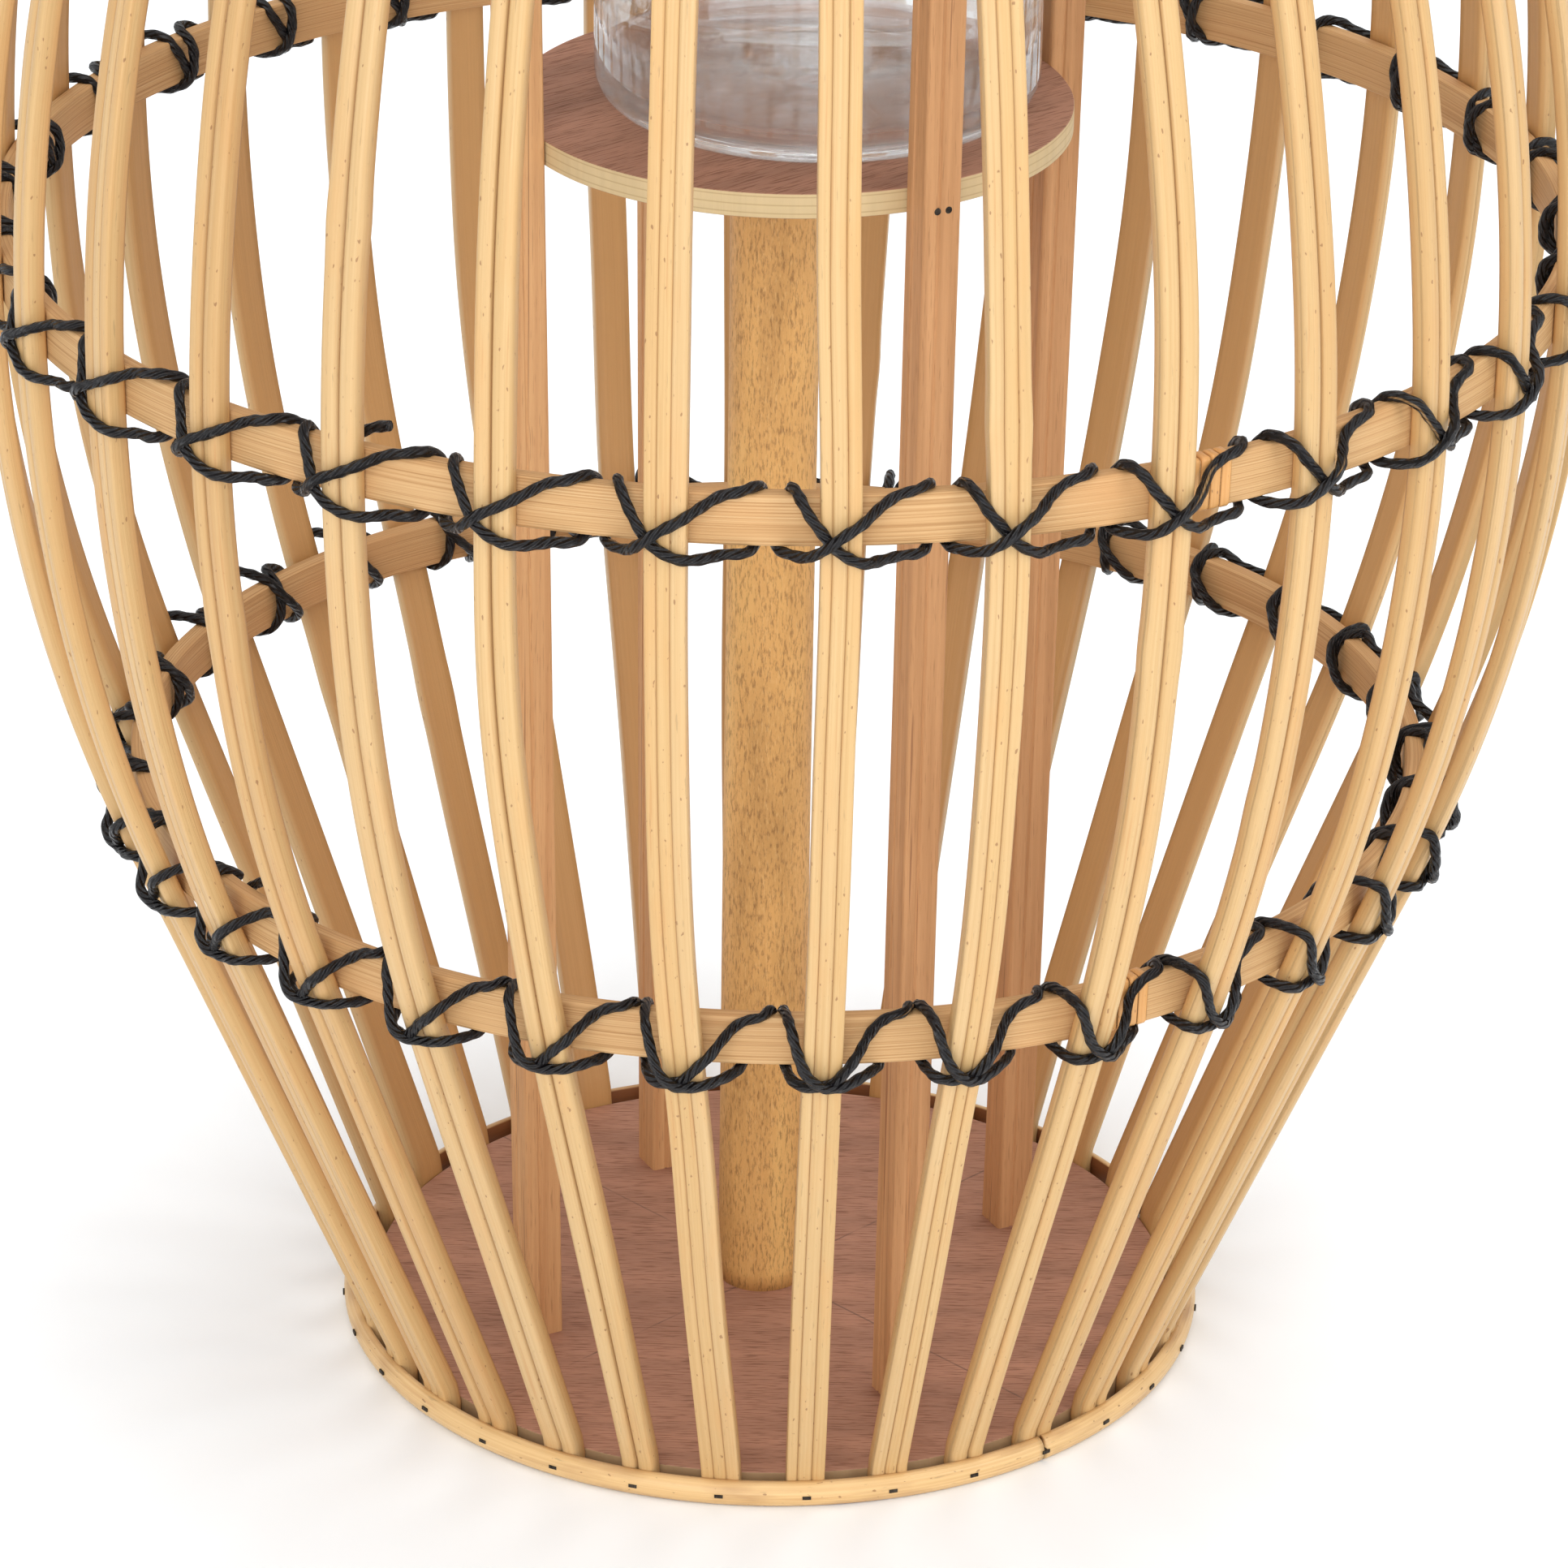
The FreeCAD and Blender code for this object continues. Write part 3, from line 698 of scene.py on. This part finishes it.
def cord_rings(line, radius, rng, sides=10, lay=9.0):
    """Rings round a line for a two-strand cord whose section turns as it goes."""
    ahead = np.gradient(line, axis=0)
    ahead /= np.linalg.norm(ahead, axis=1)[:, None]
    run = np.concatenate([[0], np.cumsum(np.linalg.norm(np.diff(line, axis=0), axis=1))])
    u = np.zeros_like(line)
    side = np.cross(ahead[0], (0, 0, 1.0))
    for i, t in enumerate(ahead):
        side = side - t * side.dot(t)
        side /= np.linalg.norm(side)
        u[i] = side
    v = np.cross(ahead, u)
    thick = radius * (1 + Wander(rng, 0.05, 61.0, 5)(run) + Wander(rng, 0.04, 13.0, 3)(run))
    rings = np.zeros((len(line), sides, 3))
    for j in range(sides):
        a = TAU * j / sides
        lobe = 1 + 0.07 * np.cos(2 * (a - TAU * run / lay))
        r = (thick * lobe)[:, None]
        rings[:, j] = line + r * (math.cos(a) * u + math.sin(a) * v)
    return rings, run


def make_lashing(name, material, seed):
    """Both cords of one hoop as one piece."""
    rng = random.Random(seed)
    points, faces, along, around = [], [], [], []
    for rising in (False, True):
        line = through_points(lashing_points(name, rising, rng), 0.8)
        for _ in range(2):
            line[1:-1] = 0.25 * line[:-2] + 0.5 * line[1:-1] + 0.25 * line[2:]
        rings, run = cord_rings(line, CORD_R, rng)
        rows, columns, _ = rings.shape
        first = sum(len(p) for p in points)
        points.append(rings.reshape(-1, 3))
        faces += grid_faces(rows, columns, first)
        faces.append(tuple(range(first, first + columns))[::-1])
        faces.append(tuple(range(first + (rows - 1) * columns, first + rows * columns)))
        along.append(np.repeat(run + (5000 if rising else 0), columns))
        around.append(np.tile(np.arange(columns) * TAU * CORD_R / columns, rows))
    piece = new_object(name + "_lashing_cord", np.concatenate(points), faces)
    keep_run(piece, np.concatenate(along), np.concatenate(around))
    return settle(piece, material, "cage", "waxed_cord", name + "_lashing")


# ---------------------------------------------------------------- boards, pole, posts, glass

def lathe(name, outline, sides, middle):
    """A body turned about an upright line at x = middle, from (radius, height) points."""
    angles = TAU * np.arange(sides) / sides
    outline = np.array(outline)
    rings = np.stack([middle + outline[:, :1] * np.cos(angles), outline[:, :1] * np.sin(angles),
                      np.repeat(outline[:, 1:], sides, axis=1)], axis=2)
    return sweep(name, rings)


def make_board(node, material, seed, hole=0.0):
    """A round board with slightly worn corners, and a hole where it has one."""
    low, high = span(node)
    centre, radius = (low + high) / 2, (high.x - low.x) / 2
    worn = 0.35
    outline = [(radius - worn, low.z), (radius - 0.1, low.z + 0.1), (radius, low.z + worn),
               (radius, high.z - worn), (radius - 0.1, high.z - 0.1), (radius - worn, high.z)]
    if hole:
        outline += [(hole + worn, high.z), (hole, high.z - worn),
                    (hole, low.z + worn), (hole + worn, low.z)]
    sides = 220
    angles = TAU * np.arange(sides) / sides
    outline = np.array(outline)
    rng = random.Random(seed)
    waves = sum(np.sin(n * angles + rng.uniform(0, TAU)) for n in (3, 11, 23))
    ragged = 1 - 0.0012 * (1 + waves / 3)
    r = outline[:, :1] * ragged[None, :]
    x = centre.x + FRAME_X * (outline[:, :1] <= hole + worn)
    rings = np.stack([x + r * np.cos(angles), centre.y + r * np.sin(angles),
                      np.repeat(outline[:, 1:], sides, axis=1)], axis=2)
    piece = sweep(node + "_ply", rings, close=bool(hole))
    for polygon in piece.data.polygons:
        polygon.use_smooth = abs(polygon.normal.z) < 0.99
    return settle(piece, material, "cage", "plywood", node)


def make_pole(material):
    low, high = span("centre_pole")
    rng = random.Random(7)
    centre, radius = (low + high) / 2, (high.x - low.x) / 2
    heights = np.linspace(low.z, high.z, 60)
    sides = 56
    angles = TAU * np.arange(sides) / sides
    flat = sum(0.004 * np.sin(n * angles + rng.uniform(0, TAU)) for n in (2, 3, 5, 7))
    bow = Wander(rng, 0.12, 300.0, 3)(heights)
    r = radius * (0.985 + flat[None, :]) * (1 + 0.004 * np.sin(heights / 41.0))[:, None]
    rings = np.stack([centre.x + r * np.cos(angles) + bow[:, None], r * np.sin(angles),
                      np.repeat(heights[:, None], sides, axis=1)], axis=2)
    return settle(sweep("centre_pole_cane", rings), material, "cage", "pole_rattan", "centre_pole")


def post_outline(half):
    """A square section with soft corners and a shallow groove in each face."""
    points = []
    for turn in range(4):
        a = turn * math.pi / 2
        for x, y in ((half, -half + POST_CORNER), (half, -0.34 * half), (half - 0.35, -0.26 * half),
                     (half - 0.35, -0.20 * half), (half, -0.12 * half), (half, half - POST_CORNER),
                     (half - 0.25, half - 0.25)):
            points.append((x * math.cos(a) - y * math.sin(a), x * math.sin(a) + y * math.cos(a)))
    return np.array(points)


def post_radius(heights):
    """From the frame's middle to a leaning post's middle; its inner face touches the shelf."""
    low, high = span("shelf_board")
    return (high.x - low.x) / 2 + (heights - low.z) * math.tan(POST_LEAN) + POST_SIDE / 2


def make_post(number, material):
    node = "corner_post_%d" % number
    low, high = span(node)
    direction = math.radians(POST_FIRST_DEG + 360.0 / POST_COUNT * (number - 1))
    outline = post_outline(POST_SIDE / 2 - 0.05)
    rng = random.Random(40 + number)
    heights = np.linspace(low.z, high.z, 90)
    width = 1 + Wander(rng, 0.006, 600.0, 6)(heights)
    x = outline[:, 0][None, :] * width[:, None]
    y = outline[:, 1][None, :] * width[:, None]
    x = x + post_radius(heights)[:, None]
    c, s = math.cos(direction), math.sin(direction)
    rings = np.stack([FRAME_X + x * c - y * s, x * s + y * c,
                      np.repeat(heights[:, None], len(outline), axis=1)], axis=2)
    piece = sweep(node + "_batten", rings)
    for polygon in piece.data.polygons:
        polygon.use_smooth = False
    return settle(piece, material, "cage", "post_wood", node)


def make_glass(material):
    """The cylinder: thick heavy base, round heel, thin wall, fire-rounded rim, pontil mark."""
    low, high = span("glass_cylinder")
    middle, radius = (low.x + high.x) / 2, (high.x - low.x) / 2
    wall, heel, floor = 2.3, 9.0, 5.0
    outline = [(0.01, low.z + 1.0), (4.0, low.z + 0.9), (5.5, low.z + 1.5), (7.0, low.z + 0.9),
               (40.0, low.z + 0.5), (45.0, low.z)]
    outline += [(radius - heel + heel * math.sin(a), low.z + heel - heel * math.cos(a))
                for a in np.radians(np.linspace(8, 90, 9))]
    outline += [(radius, z) for z in np.linspace(low.z + 25, high.z - 3, 6)]
    rim = wall / 2
    outline += [(radius - rim + rim * math.cos(a), high.z - rim + rim * math.sin(a))
                for a in np.radians(np.linspace(0, 180, 9))]
    outline += [(radius - wall, z) for z in np.linspace(high.z - 3, low.z + 25, 6)]
    inner = heel - wall + 1.5
    outline += [(radius - wall - inner + inner * math.cos(a),
                 low.z + floor + inner - inner * math.sin(a))
                for a in np.radians(np.linspace(6, 90, 8))]
    outline += [(r, low.z + floor + up) for r, up in ((36.0, 0.25), (9.0, 0.1), (7.0, 0.45),
                                                      (5.0, -0.2), (2.5, 0.3), (0.01, 0.2))]
    piece = lathe("glass_cylinder_blown", outline, 144, middle)
    return settle(piece, material, "glass", "clear_glass", "glass_cylinder")


BINDING_TURNS = 4
BINDING_STEP = 2.9
BINDING_OUT = 0.25
# One turn's section, as (sideways, outwards) from its loop's middle
TURN_SECTION = ((-1.28, -0.1), (-0.9, 0.2), (0.9, 0.2),
                (1.28, -0.1), (1.28, -0.45), (-1.28, -0.45))
TURN_RUN = 0.0, 0.4, 2.2, 2.6, 3.0, 5.6      # how far along that section its points are


def binding_turn(loop, name, offset, tilt):
    """Rings of one flat turn of peel round a hoop's section, offset along the hoop and a
    little aslant."""
    radius, z, _ = hoop_size(name)
    joint = math.radians(binding_deg(name))
    away = loop - np.array([-HOOP_THICK / 2, z])
    rings = []
    for side, lift in TURN_SECTION:
        angle = joint + (offset + side + tilt) / radius
        out = away / np.linalg.norm(away, axis=1)[:, None] * lift
        r = radius + loop[:, 0] + out[:, 0]
        rings.append(np.stack([r * np.sin(angle), -r * np.cos(angle), loop[:, 1] + out[:, 1]],
                              axis=1))
    return np.stack(rings)


def make_bindings(material):
    """Flat turns of peel wound side by side over each hoop's joint, as one piece."""
    points, faces, along, around = [], [], [], []
    rng = random.Random(61)
    for name in ("lower", "middle", "upper"):
        _, z, tall = hoop_size(name)
        reach = tall / 2 + BINDING_OUT
        loop = np.array(rounded_box(-HOOP_THICK - BINDING_OUT, BINDING_OUT - 0.03,
                                    z - reach, z + reach, 1.0))
        for number in range(BINDING_TURNS):
            start = sum(len(p) for p in points)
            offset = (number - (BINDING_TURNS - 1) / 2) * BINDING_STEP
            tilt = 0.35 * (loop[:, 1] - z) / tall + rng.uniform(-0.1, 0.1)
            points.append(binding_turn(loop, name, offset, tilt).reshape(-1, 3))
            faces += grid_faces(len(TURN_SECTION), len(loop), start, close_rows=True)
            step = np.linalg.norm(np.diff(loop, axis=0, prepend=loop[:1]), axis=1)
            along.append(np.tile(np.cumsum(step) + 40 * number, len(TURN_SECTION)))
            around.append(np.repeat(TURN_RUN, len(loop)))
    piece = new_object("hoop_bindings_peel", np.concatenate(points), faces)
    keep_run(piece, np.concatenate(along), np.concatenate(around))
    zero = np.zeros(len(piece.data.vertices))
    keep_values(piece, groove=zero, back=zero, tint=zero + 0.4)
    return settle(piece, material, "cage", "binding_peel", "hoop_bindings")


# ---------------------------------------------------------------- stage, light, camera

def make_floor():
    s = Shader("studio_floor", Specular_IOR_Level=0.1)
    soft = s.noise(s.place((0.5, 0.5, 0.5)), 1.0)
    material = s.finish(s.ramp(soft, (0.3, (0.92, 0.95, 0.975)), (0.7, (0.93, 0.96, 0.985))), 0.8)
    side = 15000.0
    points = [(-side, -side, 0), (side, -side, 0), (side, side, 0), (-side, side, 0)]
    floor = new_object("studio_floor", points, [(0, 1, 2, 3)], smooth=False)
    floor.data.materials.append(material)


def make_light(name, place, aim, size, power):
    light = bpy.data.lights.new(name, "AREA")
    light.shape = "DISK"
    light.size = size
    light.energy = power
    lamp = bpy.data.objects.new(name, light)
    lamp.location = place
    lamp.rotation_euler = (Vector(aim) - Vector(place)).to_track_quat("-Z", "Y").to_euler()
    bpy.context.scene.collection.objects.link(lamp)


def make_lights():
    world = bpy.data.worlds.new("studio")
    world.use_nodes = True
    world.node_tree.nodes["Background"].inputs["Color"].default_value = (1.0, 1.0, 1.0, 1.0)
    world.node_tree.nodes["Background"].inputs["Strength"].default_value = 0.76
    bpy.context.scene.world = world
    make_light("front", (-0.5, -3.0, 1.5), (0, 0, 0.15), 2.4, 58)
    make_light("fill", (2.2, -1.6, 1.6), (0, 0, 0.3), 1.6, 22)
    make_light("top", (0.2, 0.6, 3.0), (0, 0, 0.3), 2.2, 45)


CAMERA_PLACE = -0.07, -1655.93, 924.32
CAMERA_TURN_DEG = -25.05, 0.065, 0.85      # pitch, yaw and roll
CAMERA_LENS = 161.5


def make_camera():
    """A long lens, a little above the lantern and looking down at its lower half."""
    pitch, yaw, roll = (math.radians(turn) for turn in CAMERA_TURN_DEG)
    ahead = Vector((math.sin(yaw) * math.cos(pitch), math.cos(yaw) * math.cos(pitch),
                    math.sin(pitch)))
    level = Vector((math.cos(yaw), -math.sin(yaw), 0))
    upright = level.cross(ahead)
    right = level * math.cos(roll) + upright * math.sin(roll)
    up = upright * math.cos(roll) - level * math.sin(roll)
    data = bpy.data.cameras.new("camera")
    data.sensor_width = 36.0
    data.lens = CAMERA_LENS
    data.clip_end = 60.0
    camera = bpy.data.objects.new("camera", data)
    turn = Matrix((right, up, -ahead)).transposed()
    camera.matrix_world = Matrix.Translation(Vector(CAMERA_PLACE) * MM) @ turn.to_4x4()
    bpy.context.scene.collection.objects.link(camera)
    bpy.context.scene.camera = camera


# ---------------------------------------------------------------- the lantern

def dress(node, material):
    """A new material on a CAD node that keeps its own shape."""
    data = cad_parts[node].data
    data.materials.clear()
    data.materials.append(material)


def build():
    make_ribs()
    wood = hoop_wood()
    cord = waxed_cord()
    for seed, name in enumerate(("lower", "middle", "upper")):
        make_hoop(name, wood, seed)
        make_lashing(name, cord, 20 + seed)
    # The band's back colour, a dark brown, is painted shadow: its inside is painted as it looks in
    # shade, and its soft patches lean up to halfway toward that brown
    band = rattan("band_skin", (0.74, 0.50, 0.23), (0.62, 0.38, 0.15), (0.27, 0.10, 0.035), 0.36)
    make_band("base_band", band, 3)
    make_band("top_band", band, 4)
    veneer = (0.42, 0.215, 0.14)
    make_board("base_board", plywood("base_ply", 0.0, veneer, (0.42, 0.27, 0.14),
                                     ((45.0, 0.0), (-45.0, 0.0))), 5)
    make_board("shelf_board", plywood("shelf_ply", -40.0, veneer, (0.70, 0.54, 0.30)), 6)
    make_board("top_board", plywood("top_ply", 15.0, veneer, (0.66, 0.46, 0.24)), 8,
               hole=TOP_HOLE_R)
    make_pole(pole_skin())
    light_post = post_timber("light_post", (0.68, 0.39, 0.18), (0.55, 0.28, 0.12))
    dark_post = post_timber("dark_post", (0.62, 0.33, 0.15), (0.47, 0.235, 0.10))
    for number in range(1, POST_COUNT + 1):
        make_post(number, dark_post if number in (1, 4) else light_post)
    make_glass(clear_glass())
    steel = nail_steel()
    for node in ("base_band_brads", "base_post_nails", "shelf_nails", "top_band_brads",
                 "top_post_nails"):
        dress(node, steel)
    peel = rattan("peel_skin", (0.72, 0.40, 0.15), (0.62, 0.31, 0.10), (0.60, 0.28, 0.09), 0.34)
    make_bindings(peel)


build()
make_floor()
make_lights()
make_camera()
bpy.context.scene.view_settings.view_transform = "Standard"
